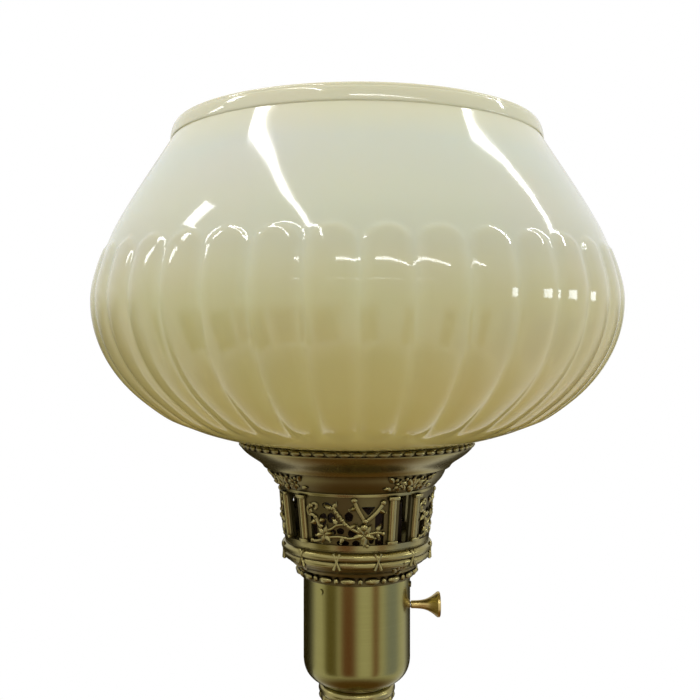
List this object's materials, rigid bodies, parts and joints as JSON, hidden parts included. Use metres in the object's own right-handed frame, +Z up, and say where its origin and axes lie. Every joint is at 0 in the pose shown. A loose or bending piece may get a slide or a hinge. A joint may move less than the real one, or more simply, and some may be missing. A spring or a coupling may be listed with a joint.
{
  "type": "torchiere floor lamp",
  "caption": "Torchiere floor lamp with a ribbed custard glass bowl in a pierced brass gallery, a fluted brass column, a trumpet switch key and a round weighted base.",
  "frame": {"origin": "on the floor under the column's axis, at the centre of the base", "axes": "+Z up the column, +X towards the switch key, -Y the front, +Y the side with the cord inlet"},
  "size_m": [0.28, 0.2799, 1.6259],
  "materials": {
    "custard_glass": "glossy pressed opal glass, opaque cream",
    "antique_brass": "satin antiqued brass, dark in the hollows",
    "satin_brass": "satin brushed and lacquered",
    "bright_brass": "plain",
    "cast_iron": "as cast, black paint",
    "steel": "zinc plated",
    "felt": "pressed wool felt",
    "phenolic": "moulded",
    "porcelain": "dark brown glaze",
    "frosted_glass": "inside frosted",
    "clear_glass": "clear",
    "black_glass": "black vitrite glass, glossy",
    "nickel": "dulled nickel plate",
    "tungsten": "coiled wire"
  },
  "bodies": {
    "root": {"base_pad": "felt", "base_foot_ring": "antique_brass", "base_shell": "antique_brass", "base_weight": "cast_iron", "base_spacer": "steel", "base_washer": "steel", "base_nut": "steel", "cord_bushing": "phenolic", "lower_pipe": "steel", "upper_pipe": "steel", "pipe_coupling": "steel", "lower_vase": "antique_brass", "lower_collar": "antique_brass", "lower_column": "antique_brass", "middle_cap": "antique_brass", "middle_knop": "antique_brass", "upper_cap": "antique_brass", "upper_column": "antique_brass", "neck_collar": "antique_brass", "neck_spindle": "antique_brass", "neck_ring": "antique_brass", "socket_cup": "satin_brass", "cup_screws": "satin_brass", "gallery_base": "antique_brass", "gallery_drum": "antique_brass", "shade_holder": "antique_brass", "socket_nut": "steel", "socket_cap": "bright_brass", "socket_body": "porcelain", "terminal_screws": "bright_brass", "socket_collar": "porcelain", "collar_screws": "steel", "screw_shell": "bright_brass", "centre_contact": "bright_brass", "ring_contact": "bright_brass", "switch_bushing": "bright_brass", "switch_leaves": "bright_brass"},
    "knob": {"knob": "satin_brass", "switch_shaft": "steel", "switch_rotor": "phenolic"},
    "shade": {"glass_shade": "custard_glass"},
    "bulb_tip": {"bulb_tip": "nickel"},
    "bulb": {"bulb_envelope": "frosted_glass", "bulb_shell": "nickel", "bulb_insulator": "black_glass", "bulb_ring": "bright_brass", "bulb_stem": "clear_glass", "bulb_leads": "nickel", "bulb_filament": "tungsten"}
  },
  "joints": [
    {"name": "knob_turn", "type": "hinge", "parent": "root", "child": "knob", "pos_m": [0.03, 0, 1.3708], "axis": [1, 0, 0], "continuous": true},
    {"name": "shade_lift", "type": "slide", "parent": "root", "child": "shade", "axis": [0, 0, 1], "range_m": [0, 0.028]},
    {"name": "bulb_rise", "type": "slide", "parent": "root", "child": "bulb_tip", "axis": [0, 0, 1], "range_m": [0, 0.0255]},
    {"name": "bulb_turn", "type": "hinge", "parent": "bulb_tip", "child": "bulb", "pos_m": [0, 0, 1.3956], "axis": [0, 0, 1], "range_deg": [0, 1440]}
  ],
  "couplings": [
    {"joint": "bulb_rise", "follows": "bulb_turn", "m_per_rad": 0.0010106}
  ]
}
